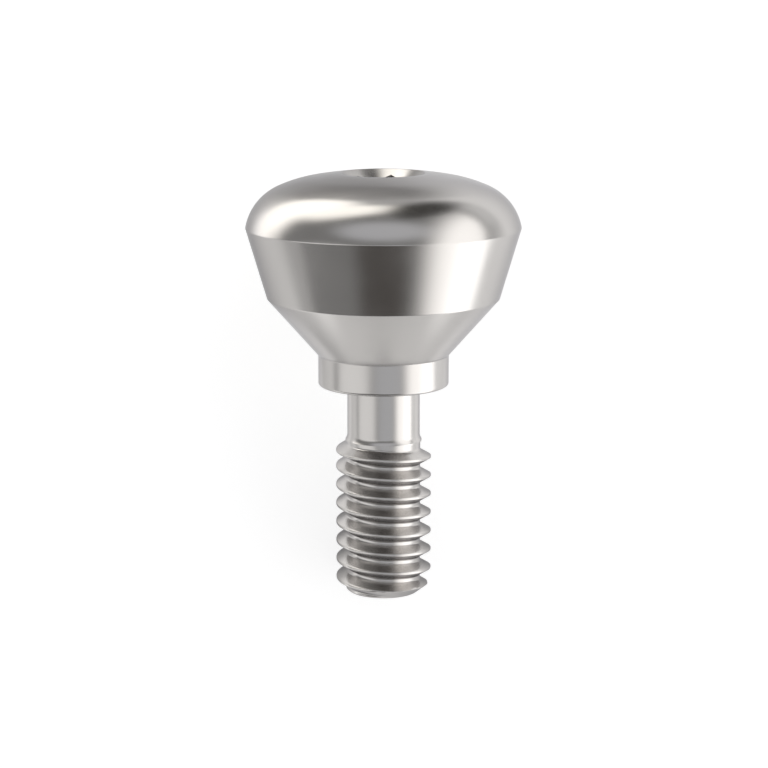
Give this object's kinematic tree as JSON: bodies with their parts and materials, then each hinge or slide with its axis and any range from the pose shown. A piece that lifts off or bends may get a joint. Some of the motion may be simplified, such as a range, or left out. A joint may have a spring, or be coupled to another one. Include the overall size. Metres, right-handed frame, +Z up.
{
  "type": "healing cap",
  "caption": "One-piece dental healing cap: a domed head with a hexagon driver socket, two cones, a short collar and a threaded screw end.",
  "frame": {"origin": "on the surface the cap lies on, under the middle of its bounding box", "axes": "+Z up from that surface; the cap lies on its side with its axis in the YZ plane, the head towards +Y and the screw towards -Y, rising 14.2 degrees from screw to head"},
  "size_m": [0.0058, 0.009, 0.0055],
  "materials": {
    "satin_titanium": "fine-turned satin titanium, uncoated"
  },
  "bodies": {
    "root": {"healing_cap": "satin_titanium"}
  },
  "joints": []
}
